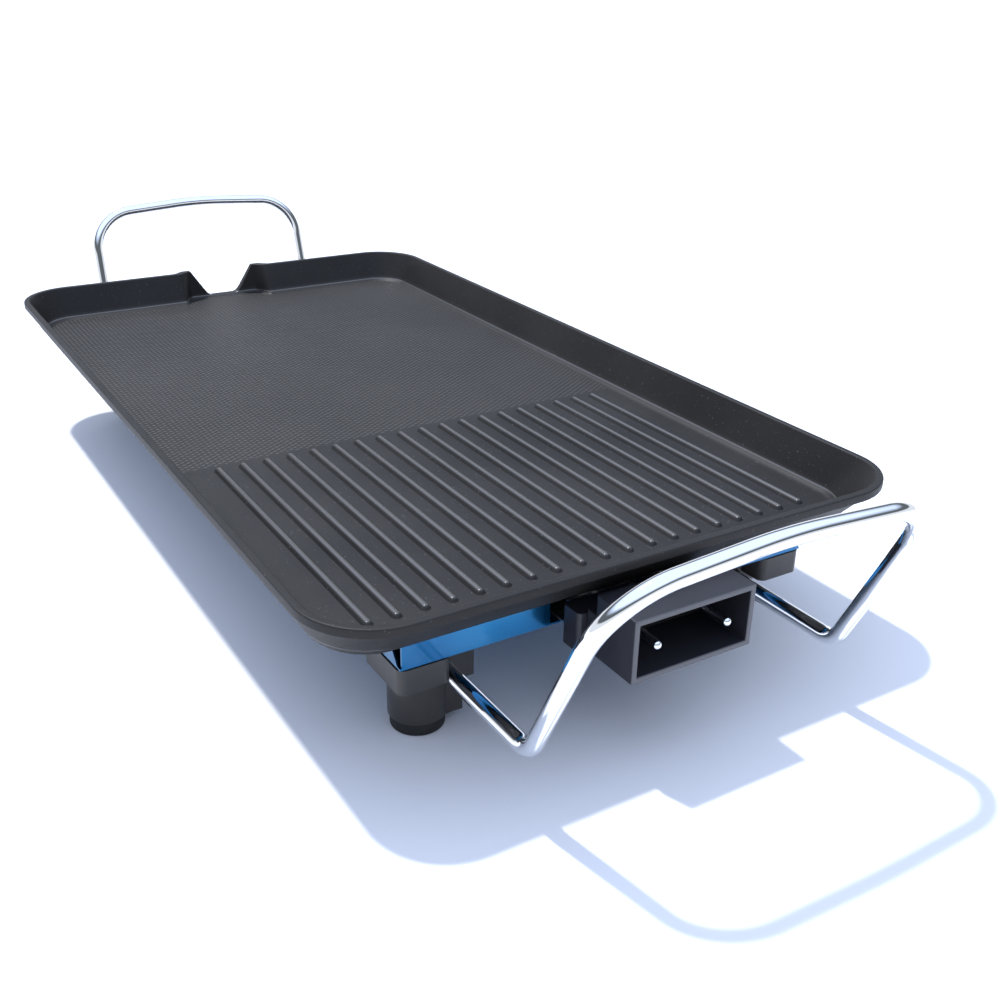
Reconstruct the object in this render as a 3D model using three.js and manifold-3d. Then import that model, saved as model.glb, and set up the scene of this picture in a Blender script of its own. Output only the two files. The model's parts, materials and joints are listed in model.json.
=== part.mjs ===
// Electric griddle: cast plate on a folded reflector tray, four legs, two bent rod handles
// and a plug-in heat control inlet. Millimetres, +Z up, +X towards the inlet end.
import * as THREE from 'three';
import { mergeVertices } from 'three/addons/utils/BufferGeometryUtils.js';
import Module from 'manifold-3d';

const wasm = await Module();
wasm.setup();

// ---------- driving dimensions ----------

const fitGap = 0.3;            // clearance between pieces that touch
const past = 1;                // how far a cutter runs past the face it opens

const footRadius = 11.4;
const footHeight = 5.8;
const footEdge = 1.2;          // chamfer round the foot
const footSeat = 3.2;          // depth of the hole that sinks the screw's head

const legLowerHeight = 26.3;
const legUpperHeight = 11;
const legBossRadius = 12.3;
const legLength = 31.5;        // upper block, along the griddle
const legWidth = 36;           // upper block, across the griddle
const legCorner = 3.5;
const legProud = 0.5;          // how far a leg stands proud of the tray
const legFootInset = 24.5;     // leg's end face to the foot's centre
const legFootSide = 20;        // leg's side face to the foot's centre
const legWebSetback = 15.3;    // leg's end face to the lower web
const legHousingHalf = 14.7;   // rod's middle to the side of the housing round it
const legHousingDrop = 8.6;    // rod's middle to the housing's underside

const traySheet = 0.9;
const trayEndInset = 26;       // plate's end to the tray's end
const traySideInset = 38.5;    // plate's side to the tray's side
const trayFlange = 10.6;       // outside height of the folded edge
const trayCornerSlant = 8;     // how far the long flange's end leans back
const trayCornerGap = 0.8;     // between the folded edges at a corner
const traySocketCut = 69;      // width of the gap in the end flange

const plateLength = 500;
const plateWidth = 280;
const plateCorner = 32;
const plateDepth = 19.4;       // rim down to the cooking floor
const plateFloor = 3.5;
const plateWall = 3;
const plateLip = 4.2;          // height of the upright lip
const plateRim = 3.2;          // width of the flat rim
const plateFillet = 6;
const plateHeel = 8;           // width of the rounding under the wall
const plateHeelTop = 2;        // its top above the cooking floor
const plateEdge = 0.8;         // rounding of the lip's edges
const plateGap = 2.8;          // tray's edge up to the plate's underside
const plateWallSpread = 9;     // how far the wall leans out over its height
const plateInletSpread = 18;   // the same at the inlet end, where the wall is flatter
const plateLeastCorner = 4;    // smallest corner radius of a ring

const bossRadius = 5.5;

const ribCount = 19;
const ribSideInset = 31.1;     // plate's side to the first rib's middle
const ribWidth = 4.2;
const ribHeight = 1.8;
const ribEdge = 1;             // width of a rib's slanted edge
const ribFoot = 0.3;           // upright part at the foot of its side
const ribSink = 0.2;           // how far it is let into the floor
const ribEndInset = 35;        // plate's end to the ribs' near ends
const ribLength = 166.5;

const notchTop = 45;           // drain notch at the rim
const notchBottom = 21;
const notchSill = 1.2;         // sill above the cooking floor
const notchCorner = 2.5;       // size of its two lower corners
const notchFlare = 10;         // how much wider each side is inside the wall
const spoutReach = 4;          // spout beyond the rim
const spoutWall = 4;
const spoutBend = 2;           // how far its sides swell at the plate's end
const spoutFloor = 1.5;        // how far the spout's underside lies below the cooking floor

const rodDiameter = 7.2;
const rodSideInset = 26.5;     // leg's side face to its rod
const rodHeight = 29.6;        // lower rods above the ground
const rodReach = 23.5;         // plate's end to the lower bend
const rodGrip = 14;            // length held inside the leg's web
const handleRise = 88;         // slant length from lower bend to top bar
const handleTaper = 2;         // how much nearer each upright is at the top
const handleArch = 4.8;        // rise of the top bar's two slopes towards its middle
const handleArchBend = 260;    // radius where the slopes meet
const handleLowerBend = 11;
const handleUpperBend = 28;
const handleLean = { inlet: 25.5, drain: 15.5 };   // degrees from upright, each end as bent

const heaterDiameter = 6;
const heaterSideInset = 18;    // foot's centre to the heater's outer run
const heaterBend = 22;
const heaterEndInset = 40;     // plate's end to the heater's drain end
const heaterTurnInset = 52;    // plate's end to its turns at the inlet end
const heaterTurnBend = 0.45;   // radius of those turns over their width
const tailInset = 92;          // plate's end to where its tails turn outwards
const tailSpread = 22;         // sideways run of a tail beyond its pin
const tailBend = 9;
const pinDiameter = 4;
const pinSpacing = 34.2;
const beadLength = 9;
const beadDiameter = 6;
const beadEnd = 2;             // closed end of a bead behind its pin

const clampSheet = 1;
const clampWidth = 12;
const clampLand = 8;           // flat each side of the heater
const clampDrop = 1;           // heater's middle down to the top of that flat
const clampBossRadius = 3.4;
const clampInset = 107;        // plate's end to the clamps

const boxLength = 11;          // terminal box, along the griddle
const boxWidth = 66;
const boxHeight = 17;
const boxWall = 2.4;
const boxCorner = 2;
const boxSetback = 6;          // tray's end to the box

const shroudReach = 21;        // plate's end to the shroud's mouth
const shroudWidth = 58.8;
const shroudHeight = 27.4;
const shroudWall = 2.6;
const shroudStep = 3;          // plate's end to the back of its upper part
const shroudShoulder = 2;      // its lower part's top above the terminal box
const shoulderRoof = 1.5;
const shroudRaise = 0.4;       // its middle above the pins

const bracketSheet = 1.2;      // bracket between the tray and the terminal box
const bracketReach = 26;
const bracketWidth = 60;
const bracketScrewY = 20;

const boardSheet = 3;          // terminal board at the back of the shroud
const boardScrewInset = 4.2;   // shroud's inner wall to the board's screws
const probeBore = 6.6;         // for the control's temperature probe
const probeWall = 0.9;
const probeLength = 46;
const probeEnd = 2;            // closed end of the guide

const grubDiameter = 4;        // set screw that holds a handle's rod in its leg
const grubLength = 14;
const grubInset = 7;           // web's end face to the set screw
const grubSocket = 2.5;        // depth of its hexagon socket
const grubPoint = grubDiameter * 0.3;      // length of its tapered end
const grubTip = grubDiameter * 0.2;        // radius of the end itself
const grubHexagon = grubDiameter * 0.275;  // socket's middle to its corners

const screwDiameter = 4;
const screwHead = 7.6;
const screwHeadHeight = 2.2;
const smallScrewDiameter = 3;
const smallScrewHead = 5.6;
const smallScrewHeadHeight = 1.8;
const headDome = 0.35;         // part of a head's height that is rounded
const headFlat = 0.3;          // radius of a head's flat top over its width
const screwTaper = 0.3;        // size of a screw's tapered end over its width
const headClearance = 0.6;     // round a sunk screw head
const screwPast = 1.5;         // screw's end beyond the last sheet it holds
const screwShort = 0.5;        // gap between a screw's end and the plate above it

// ---------- heights and places worked out from them ----------

const trayLength = plateLength - 2 * trayEndInset;
const trayWidth = plateWidth - 2 * traySideInset;
const ribPitch = (plateWidth - 2 * ribSideInset) / (ribCount - 1);

const legBottom = footHeight + fitGap;
const legStep = legBottom + legLowerHeight;
const legTop = legStep + legUpperHeight;
const trayBottom = legTop + fitGap;
const trayFloorTop = trayBottom + traySheet;
const trayTop = trayBottom + trayFlange;
const plateUnderside = trayTop + plateGap;
const floorTop = plateUnderside + plateFloor;
const rimTop = floorTop + plateDepth;
const bossBottom = trayFloorTop + fitGap;

const legEndX = trayLength / 2 + legProud;
const legSideY = trayWidth / 2 + legProud;
const footX = legEndX - legFootInset;
const footY = legSideY - legFootSide;
const rodY = legSideY - rodSideInset;
const rodRadius = rodDiameter / 2;
const rodBore = rodRadius + fitGap;
const screwBore = screwDiameter / 2 + fitGap;
const smallScrewBore = smallScrewDiameter / 2 + fitGap;
const pinBore = pinDiameter / 2 + fitGap;
const rodBendX = plateLength / 2 + rodReach;

const heaterSideY = footY - heaterSideInset;
const heaterZ = plateUnderside - fitGap - heaterDiameter / 2;
const pinY = pinSpacing / 2;
const mouthX = plateLength / 2 + shroudReach;
const boxRearX = trayLength / 2 + boxSetback;
const boxFrontX = boxRearX + boxLength;
const boxTop = plateUnderside - fitGap;
const boxBottom = boxTop - boxHeight;
const shroudRearX = boxFrontX + fitGap;
const shroudCentreZ = heaterZ + shroudRaise;
const shoulderZ = boxTop + shroudShoulder;

// ---------- materials ----------

const castCoat = { color: 0x2d2e30, roughness: 0.55, metalness: 0.3 };
const blueFilm = { color: 0x1f74bd, roughness: 0.25, metalness: 0.6 };
const bakelite = { color: 0x2b2523, roughness: 0.35, metalness: 0 };
const housingPlastic = { color: 0x1d1f24, roughness: 0.45, metalness: 0 };
const chrome = { color: 0xd7dade, roughness: 0.08, metalness: 1 };
const zincSteel = { color: 0xa9adb0, roughness: 0.35, metalness: 0.9 };
const sheathSteel = { color: 0x5d5f5c, roughness: 0.5, metalness: 0.8 };
const ceramic = { color: 0xe9e4d8, roughness: 0.6, metalness: 0 };
const rubber = { color: 0x17181a, roughness: 0.9, metalness: 0 };
const phenolic = { color: 0x3a2a1c, roughness: 0.6, metalness: 0 };

// ---------- solids ----------

function toManifold(geometry) {
  const plain = geometry.clone();
  plain.deleteAttribute('normal');
  plain.deleteAttribute('uv');
  const merged = mergeVertices(plain, 1e-4);
  const mesh = new wasm.Mesh({
    numProp: 3,
    vertProperties: new Float32Array(merged.attributes.position.array),
    triVerts: new Uint32Array(merged.index.array),
  });
  mesh.merge();
  return new wasm.Manifold(mesh);
}

function toGeometry(solid) {
  const mesh = solid.getMesh();
  const geometry = new THREE.BufferGeometry();
  geometry.setAttribute('position', new THREE.BufferAttribute(new Float32Array(mesh.vertProperties), 3));
  geometry.setIndex(new THREE.BufferAttribute(new Uint32Array(mesh.triVerts), 1));
  geometry.computeVertexNormals();
  return geometry;
}

function join(...geometries) {
  const solids = geometries.map(toManifold);
  return toGeometry(solids.reduce((whole, piece) => whole.add(piece)));
}

function cut(geometry, ...cutters) {
  const whole = toManifold(geometry);
  return toGeometry(cutters.reduce((left, cutter) => left.subtract(toManifold(cutter)), whole));
}

function box(x0, x1, y0, y1, z0, z1) {
  const geometry = new THREE.BoxGeometry(x1 - x0, y1 - y0, z1 - z0);
  return geometry.translate((x0 + x1) / 2, (y0 + y1) / 2, (z0 + z1) / 2);
}

// Upright cylinder from z0 to z1, or along X when axis is 'x' (then z0 and z1 are x values).
function cylinder(radius, z0, z1, { x = 0, y = 0, z = 0, axis = 'z', sides = 24 } = {}) {
  const geometry = new THREE.CylinderGeometry(radius, radius, z1 - z0, sides);
  if (axis === 'z') {
    return geometry.rotateX(Math.PI / 2).translate(x, y, (z0 + z1) / 2);
  }
  return geometry.rotateZ(-Math.PI / 2).translate((z0 + z1) / 2, y, z);
}

// A turned shape about Z from [radius, height] pairs that start and end on the axis.
function turned(profile, sides = 28) {
  const points = profile.map(([r, h]) => new THREE.Vector2(r, h));
  return new THREE.LatheGeometry(points, sides).rotateX(Math.PI / 2);
}

function roundedRectangle(halfLength, halfWidth, radius) {
  const shape = new THREE.Shape();
  const cx = halfLength - radius;
  const cy = halfWidth - radius;
  shape.moveTo(halfLength, -cy);
  shape.absarc(cx, cy, radius, 0, Math.PI / 2);
  shape.absarc(-cx, cy, radius, Math.PI / 2, Math.PI);
  shape.absarc(-cx, -cy, radius, Math.PI, Math.PI * 1.5);
  shape.absarc(cx, -cy, radius, Math.PI * 1.5, Math.PI * 2);
  return shape;
}

function extruded(shape, z0, z1, curveSegments = 6) {
  const settings = { depth: z1 - z0, bevelEnabled: false, curveSegments };
  return new THREE.ExtrudeGeometry(shape, settings).translate(0, 0, z0);
}

function roundedBlock(x0, x1, y0, y1, z0, z1, radius) {
  const shape = roundedRectangle((x1 - x0) / 2, (y1 - y0) / 2, radius);
  return extruded(shape, z0, z1).translate((x0 + x1) / 2, (y0 + y1) / 2, 0);
}

// A closed skin through rings of points that match one to one, capped flat at both ends.
function loft(rings) {
  const count = rings[0].length;
  const positions = [];
  const index = [];
  rings.forEach((ring) => ring.forEach((point) => positions.push(point.x, point.y, point.z)));
  for (let r = 0; r < rings.length - 1; r += 1) {
    for (let i = 0; i < count; i += 1) {
      const a = r * count + i;
      const b = r * count + (i + 1) % count;
      index.push(a, b, b + count, a, b + count, a + count);
    }
  }
  const last = (rings.length - 1) * count;
  for (let i = 1; i < count - 1; i += 1) {
    index.push(0, i + 1, i);
    index.push(last, last + i, last + i + 1);
  }
  const geometry = new THREE.BufferGeometry();
  geometry.setAttribute('position', new THREE.Float32BufferAttribute(positions, 3));
  geometry.setIndex(index);
  return geometry;
}

// A ring round the plate. The wall's inset and height at the inlet end differ from those on the
// other sides, and the two inlet corners blend from one to the other.
function plateRing([inset, height], [inletInset, inletHeight]) {
  const radius = Math.max(plateCorner - inset, plateLeastCorner);
  const inletX = plateLength / 2 - inletInset - radius;
  const cx = plateLength / 2 - inset - radius;
  const cy = plateWidth / 2 - inset - radius;
  const ringCorners = [[inletX, cy, 0], [-cx, cy, 1], [-cx, -cy, 2], [inletX, -cy, 3]];
  const steps = 8;
  return ringCorners.flatMap(([x, y, quarter]) => Array.from({ length: steps + 1 }, (_, i) => {
    const angle = (quarter + i / steps) * Math.PI / 2;
    const share = Math.max(Math.cos(angle), 0) ** 2;
    const z = floorTop + height + (inletHeight - height) * share;
    return new THREE.Vector3(x + radius * Math.cos(angle), y + radius * Math.sin(angle), z);
  }));
}

function plateRings(wall) {
  const inlet = wall(plateInletSpread);
  return wall(plateWallSpread).map((point, i) => plateRing(point, inlet[i]));
}

// Path through corner points with a round bend of the given radius at each inner corner.
function bentPath(corners) {
  const path = new THREE.CurvePath();
  let start = corners[0].point;
  for (let i = 1; i < corners.length - 1; i += 1) {
    const { point, radius } = corners[i];
    const inward = point.clone().sub(corners[i - 1].point).normalize();
    const outward = corners[i + 1].point.clone().sub(point).normalize();
    const turn = inward.angleTo(outward);
    const setback = radius * Math.tan(turn / 2);
    const reach = radius * Math.tan(turn / 4) * 4 / 3;
    const enter = point.clone().addScaledVector(inward, -setback);
    const leave = point.clone().addScaledVector(outward, setback);
    path.add(new THREE.LineCurve3(start, enter));
    path.add(new THREE.CubicBezierCurve3(
      enter,
      enter.clone().addScaledVector(inward, reach),
      leave.clone().addScaledVector(outward, -reach),
      leave,
    ));
    start = leave;
  }
  path.add(new THREE.LineCurve3(start, corners[corners.length - 1].point));
  return path;
}

function tubeAlong(path, radius, steps, sides) {
  const section = new THREE.Shape();
  section.absarc(0, 0, radius, 0, Math.PI * 2);
  const settings = { steps, extrudePath: path, bevelEnabled: false, curveSegments: sides / 2 };
  return new THREE.ExtrudeGeometry(section, settings);
}

function mirrored(geometry, sx, sy) {
  const copy = geometry.clone().scale(sx, sy, 1);
  if (sx * sy < 0) {
    const index = copy.index.array;
    for (let i = 0; i < index.length; i += 3) {
      [index[i + 1], index[i + 2]] = [index[i + 2], index[i + 1]];
    }
  }
  copy.computeVertexNormals();
  return copy;
}

const group = new THREE.Group();
const griddle = new THREE.Group();
group.add(griddle);

function addPiece(name, geometry, finish, parent = griddle) {
  const mesh = new THREE.Mesh(geometry, new THREE.MeshStandardMaterial(finish));
  mesh.name = name;
  parent.add(mesh);
  return mesh;
}

// The four corners of the griddle, each with the sign of its X and Y.
const corners = [
  { name: 'inlet_left', sx: 1, sy: -1 },
  { name: 'inlet_right', sx: 1, sy: 1 },
  { name: 'drain_left', sx: -1, sy: -1 },
  { name: 'drain_right', sx: -1, sy: 1 },
];
const sides = [{ name: 'left', sy: -1 }, { name: 'right', sy: 1 }];

// ---------- grill plate ----------

// [inset from the plate's edge, height above the cooking floor], underside to rim, outside.
function outerWall(spread) {
  const slant = Math.atan2(spread, plateDepth);
  const lean = plateWall / Math.cos(slant);
  const insetAt = (height) => plateRim + spread * (1 - height / plateDepth) - lean;
  const lipFoot = plateDepth - plateLip;
  const edgeMiddle = plateEdge * (1 - Math.SQRT1_2);
  const heel = new THREE.QuadraticBezierCurve(
    new THREE.Vector2(insetAt(0) + plateHeel, -plateFloor),
    new THREE.Vector2(insetAt(-plateFloor), -plateFloor),
    new THREE.Vector2(insetAt(plateHeelTop), plateHeelTop),
  );
  return [
    ...heel.getPoints(3).map(({ x, y }) => [x, y]),
    [insetAt(lipFoot - plateEdge), lipFoot - plateEdge],
    [0, lipFoot],
    [0, plateDepth - plateEdge],
    [edgeMiddle, plateDepth - edgeMiddle],
    [plateEdge, plateDepth],
  ];
}

// Rim down to the cooking floor, inside, with a round fillet at the foot of the wall.
function innerWall(spread) {
  const slope = Math.atan2(plateDepth, spread);
  const setback = plateFillet * Math.tan(slope / 2);
  const foot = plateRim + spread;
  const steps = 4;
  const fillet = Array.from({ length: steps + 1 }, (_, i) => {
    const angle = slope * i / steps;
    const inset = foot + setback - plateFillet * Math.sin(angle);
    return [inset, plateFillet * (1 - Math.cos(angle))];
  });
  const above = [plateRim - past * spread / plateDepth, plateDepth + past];
  return [...fillet, [plateRim, plateDepth], above];
}

// Trapezoid across the drain end, widening towards the inside of the wall.
function notchCutter() {
  const outside = -plateLength / 2 - spoutReach - past;
  const inside = -plateLength / 2 + plateRim + plateWallSpread + plateFillet;
  const steps = 6;
  const sill = floorTop + notchSill;
  const over = rimTop + past;
  const lean = (notchTop - notchBottom) / 2 / (rimTop - sill);
  const rings = Array.from({ length: steps + 1 }, (_, i) => {
    const along = i / steps;
    const x = outside + (inside - outside) * along;
    const bottom = notchBottom / 2 + notchFlare * along * along;
    const halfAt = (z) => bottom + lean * (z - sill);
    const low = bottom - notchCorner;
    return [
      new THREE.Vector3(x, -halfAt(over), over),
      new THREE.Vector3(x, halfAt(over), over),
      new THREE.Vector3(x, halfAt(sill + notchCorner), sill + notchCorner),
      new THREE.Vector3(x, low, sill),
      new THREE.Vector3(x, -low, sill),
      new THREE.Vector3(x, -halfAt(sill + notchCorner), sill + notchCorner),
    ];
  });
  return loft(rings.map((ring) => ring.reverse()));
}

function spoutBody() {
  const tip = -plateLength / 2 - spoutReach;
  const root = -plateLength / 2 + plateRim + plateWallSpread;
  const half = notchTop / 2 + spoutWall;
  const shape = new THREE.Shape();
  shape.moveTo(root, -half - notchFlare);
  shape.lineTo(root, half + notchFlare);
  shape.quadraticCurveTo(-plateLength / 2, half + spoutBend, tip, half);
  shape.lineTo(tip, -half);
  shape.quadraticCurveTo(-plateLength / 2, -half - spoutBend, root, -half - notchFlare);
  return extruded(shape, floorTop - spoutFloor, rimTop, 6);
}

function rib(y) {
  const half = ribWidth / 2;
  const straight = ribLength / 2 - half;
  const top = half - ribEdge;
  const shape = new THREE.Shape();
  shape.moveTo(straight, -top);
  shape.absarc(straight, 0, top, -Math.PI / 2, Math.PI / 2);
  shape.absarc(-straight, 0, top, Math.PI / 2, Math.PI * 1.5);
  const settings = {
    depth: ribSink + ribFoot,
    curveSegments: 3,
    bevelThickness: ribHeight - ribFoot,
    bevelSize: ribEdge,
    bevelSegments: 1,
  };
  const geometry = new THREE.ExtrudeGeometry(shape, settings);
  const centre = plateLength / 2 - ribEndInset - ribLength / 2;
  return geometry.translate(centre, y, floorTop - ribSink);
}

function bossSpots() {
  return corners.map(({ sx, sy }) => [sx * footX, sy * footY]);
}

function clampSpots() {
  const nearX = plateLength / 2 - clampInset;
  const y = heaterSideY;
  return [
    { name: 'inlet_left', x: nearX, y: -y },
    { name: 'inlet_right', x: nearX, y },
    { name: 'drain_left', x: -nearX, y: -y },
    { name: 'drain_right', x: -nearX, y },
  ];
}

const clampScrewOffset = heaterDiameter / 2 + fitGap + clampSheet + clampBossRadius;
const clampBottom = heaterZ - heaterDiameter / 2 - fitGap - clampSheet;
const clampFootZ = heaterZ - clampDrop;

function grillPlate() {
  let solid = toManifold(loft(plateRings(outerWall))).add(toManifold(spoutBody()));
  solid = solid.subtract(toManifold(loft(plateRings(innerWall)))).subtract(toManifold(notchCutter()));
  for (let i = 0; i < ribCount; i += 1) {
    solid = solid.add(toManifold(rib((i - (ribCount - 1) / 2) * ribPitch)));
  }
  bossSpots().forEach(([x, y]) => {
    const boss = cylinder(bossRadius, bossBottom, plateUnderside + past, { x, y });
    const bore = cylinder(screwBore, bossBottom - past, plateUnderside + past, { x, y, sides: 16 });
    solid = solid.add(toManifold(boss)).subtract(toManifold(bore));
  });
  clampSpots().forEach(({ x, y }) => {
    [-1, 1].forEach((side) => {
      const at = { x, y: y + side * clampScrewOffset, sides: 16 };
      const boss = cylinder(clampBossRadius, clampFootZ + fitGap, plateUnderside + past, at);
      const bore = cylinder(smallScrewBore, clampFootZ, plateUnderside + past, at);
      solid = solid.add(toManifold(boss)).subtract(toManifold(bore));
    });
  });
  return toGeometry(solid);
}

addPiece('grill_plate', grillPlate(), castCoat);

// ---------- reflector tray ----------

function reflectorTray() {
  const hx = trayLength / 2;
  const hy = trayWidth / 2;
  const floor = box(-hx, hx, -hy, hy, trayBottom, trayFloorTop);
  const endFlange = box(hx - traySheet, hx, -hy + trayCornerGap, hy - trayCornerGap, trayBottom, trayTop);
  const drainFlange = box(-hx, -hx + traySheet, -hy + trayCornerGap, hy - trayCornerGap, trayBottom, trayTop);
  const side = new THREE.Shape();
  side.moveTo(-hx + 2 * trayCornerGap, trayBottom);
  side.lineTo(hx - 2 * trayCornerGap, trayBottom);
  side.lineTo(hx - 2 * trayCornerGap - trayCornerSlant, trayTop);
  side.lineTo(-hx + 2 * trayCornerGap + trayCornerSlant, trayTop);
  side.closePath();
  const upright = extruded(side, 0, traySheet).rotateX(Math.PI / 2);
  const left = upright.clone().translate(0, -hy + traySheet, 0);
  const right = upright.clone().translate(0, hy, 0);
  const socketCut = box(
    hx - traySheet - past,
    hx + past,
    -traySocketCut / 2,
    traySocketCut / 2,
    trayFloorTop,
    trayTop + past,
  );
  const holes = bossSpots().map(([x, y]) => (
    cylinder(screwBore, trayBottom - past, trayTop, { x, y, sides: 16 })
  ));
  const bracketHoles = sides.map(({ sy }) => bracketScrewHole(sy, trayBottom - past, trayTop));
  return cut(join(floor, endFlange, drainFlange, left, right), socketCut, ...holes, ...bracketHoles);
}

// ---------- legs, feet and the screws through them ----------

const legScrewTop = plateUnderside - screwShort;
const webEndX = legEndX - legWebSetback;
const legInnerY = legSideY - legWidth;
const grubX = webEndX - grubInset;

function legBracket() {
  const rearX = legEndX - legLength;
  const blockInnerY = rodY + rodBore;
  const outerBlock = roundedBlock(rearX, legEndX, blockInnerY, legSideY, legStep, legTop, legCorner);
  const bridge = box(rearX, webEndX, legInnerY, legSideY - legCorner, legStep, legTop);
  const boss = cylinder(legBossRadius, legBottom, legTop, { x: footX, y: footY, sides: 28 });
  const web = box(rearX, webEndX, legInnerY, footY, legBottom, legTop);
  const housingInnerY = rodY - legHousingHalf;
  const housing = box(rearX, webEndX, housingInnerY, rodY, rodHeight - legHousingDrop, legTop);
  const rodEndX = webEndX - rodGrip - fitGap;
  const rodHole = cylinder(rodBore, rodEndX, legEndX + past, { y: rodY, z: rodHeight, axis: 'x' });
  const screwHole = cylinder(screwBore, 0, legTop + past, { x: footX, y: footY, sides: 16 });
  const grubHole = cylinder(grubDiameter / 2 + fitGap, 0, rodHeight, { x: grubX, y: rodY, sides: 16 });
  return cut(join(outerBlock, bridge, boss, web, housing), rodHole, screwHole, grubHole);
}

// Flat disc with a stepped hole that sinks the screw's head.
function footPad() {
  const headHole = screwHead / 2 + headClearance;
  const profile = [
    [screwBore, footSeat],
    [headHole, footSeat],
    [headHole, 0],
    [footRadius - footEdge, 0],
    [footRadius, footEdge],
    [footRadius, footHeight],
    [screwBore, footHeight],
    [screwBore, footSeat],
  ];
  return turned(profile).translate(footX, footY, 0);
}

function panScrew(diameter, headDiameter, headHeight, seatZ, topZ) {
  const dome = headHeight * headDome;
  const crown = headDiameter * headFlat;
  const tip = diameter * screwTaper;
  const profile = [
    [0, seatZ - headHeight],
    [crown, seatZ - headHeight],
    [headDiameter / 2, seatZ - headHeight + dome],
    [headDiameter / 2, seatZ],
    [diameter / 2, seatZ],
    [diameter / 2, topZ - tip],
    [tip, topZ],
    [0, topZ],
  ];
  return turned(profile, 12);
}

// Headless set screw with a pointed end against the rod and a hexagon socket.
function grubScrew() {
  const radius = grubDiameter / 2;
  const topZ = rodHeight - rodRadius - fitGap;
  const lowZ = topZ - grubLength;
  const profile = [
    [0, lowZ],
    [radius, lowZ],
    [radius, topZ - grubPoint],
    [grubTip, topZ],
    [0, topZ],
  ];
  const socket = cylinder(grubHexagon, lowZ - past, lowZ + grubSocket, { sides: 6 });
  return cut(turned(profile, 16), socket);
}

const legShape = legBracket();
const grubShape = grubScrew();
const footShape = footPad();
const legScrew = panScrew(screwDiameter, screwHead, screwHeadHeight, footSeat - fitGap, legScrewTop);

corners.forEach(({ name, sx, sy }) => {
  addPiece(`leg_bracket_${name}`, mirrored(legShape, sx, sy), bakelite);
  addPiece(`foot_pad_${name}`, mirrored(footShape, sx, sy), rubber);
  addPiece(`leg_screw_${name}`, legScrew, zincSteel).position.set(sx * footX, sy * footY, 0);
  addPiece(`handle_screw_${name}`, grubShape, zincSteel).position.set(sx * grubX, sy * rodY, 0);
});

// ---------- handles ----------

function handle(leanDegrees) {
  const lean = leanDegrees * Math.PI / 180;
  const endX = webEndX - rodGrip;
  const topX = rodBendX + handleRise * Math.sin(lean);
  const topZ = rodHeight + handleRise * Math.cos(lean);
  const topY = rodY - handleTaper;
  const at = (x, y, z, radius = 0) => ({ point: new THREE.Vector3(x, y, z), radius });
  const path = bentPath([
    at(endX, -rodY, rodHeight),
    at(rodBendX, -rodY, rodHeight, handleLowerBend),
    at(topX, -topY, topZ, handleUpperBend),
    at(topX, 0, topZ + handleArch, handleArchBend),
    at(topX, topY, topZ, handleUpperBend),
    at(rodBendX, rodY, rodHeight, handleLowerBend),
    at(endX, rodY, rodHeight),
  ]);
  return tubeAlong(path, rodRadius, 84, 12);
}

addPiece('handle_inlet_end', handle(handleLean.inlet), chrome);
addPiece('handle_drain_end', handle(handleLean.drain), chrome).rotation.z = Math.PI;

// ---------- heating element, its clamps and its terminals ----------

const beadRearX = boxRearX - fitGap - beadLength;
const pinRearX = beadRearX + beadEnd;

function heatingElement() {
  const farX = -plateLength / 2 + heaterEndInset;
  const nearX = plateLength / 2 - heaterTurnInset;
  const tailX = plateLength / 2 - tailInset;
  const tailY = pinY + tailSpread;
  const turnBend = (heaterSideY - tailY) * heaterTurnBend;
  const half = (side) => [
    [beadRearX - fitGap, side * pinY, 0],
    [tailX, side * pinY, tailBend],
    [tailX, side * tailY, tailBend],
    [nearX, side * tailY, turnBend],
    [nearX, side * heaterSideY, turnBend],
    [farX, side * heaterSideY, heaterBend],
  ];
  const route = [...half(-1), ...half(1).reverse()];
  const path = bentPath(route.map(([x, y, radius]) => ({ point: new THREE.Vector3(x, y, heaterZ), radius })));
  return tubeAlong(path, heaterDiameter / 2, 90, 8);
}

addPiece('heating_element', heatingElement(), sheathSteel);

// Sheet bridge that holds the heater up against the plate.
function heaterClamp() {
  const inner = heaterDiameter / 2 + fitGap;
  const low = clampBottom;
  const half = inner + clampLand;
  const shape = new THREE.Shape();
  shape.moveTo(-half, clampFootZ);
  shape.lineTo(-half, clampFootZ - clampSheet);
  shape.lineTo(-inner - clampSheet, clampFootZ - clampSheet);
  shape.lineTo(-inner - clampSheet, low);
  shape.lineTo(inner + clampSheet, low);
  shape.lineTo(inner + clampSheet, clampFootZ - clampSheet);
  shape.lineTo(half, clampFootZ - clampSheet);
  shape.lineTo(half, clampFootZ);
  shape.lineTo(inner, clampFootZ);
  shape.lineTo(inner, low + clampSheet);
  shape.lineTo(-inner, low + clampSheet);
  shape.lineTo(-inner, clampFootZ);
  shape.closePath();
  const sheet = extruded(shape, 0, clampWidth);
  sheet.rotateX(Math.PI / 2).translate(0, clampWidth / 2, 0).rotateZ(Math.PI / 2);
  const holes = [-1, 1].map((side) => (
    cylinder(smallScrewBore, low - past, clampFootZ + past, { y: side * clampScrewOffset, sides: 16 })
  ));
  return cut(sheet, ...holes);
}

const clampShape = heaterClamp();
const clampScrew = panScrew(
  smallScrewDiameter,
  smallScrewHead,
  smallScrewHeadHeight,
  clampFootZ - clampSheet - fitGap,
  plateUnderside + screwShort,
);

clampSpots().forEach(({ name, x, y }) => {
  addPiece(`heater_clamp_${name}`, clampShape, zincSteel).position.set(x, y, 0);
  [-1, 1].forEach((side) => {
    const screwName = `clamp_screw_${name}_${side < 0 ? 'a' : 'b'}`;
    addPiece(screwName, clampScrew, zincSteel).position.set(x, y + side * clampScrewOffset, 0);
  });
});

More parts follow.
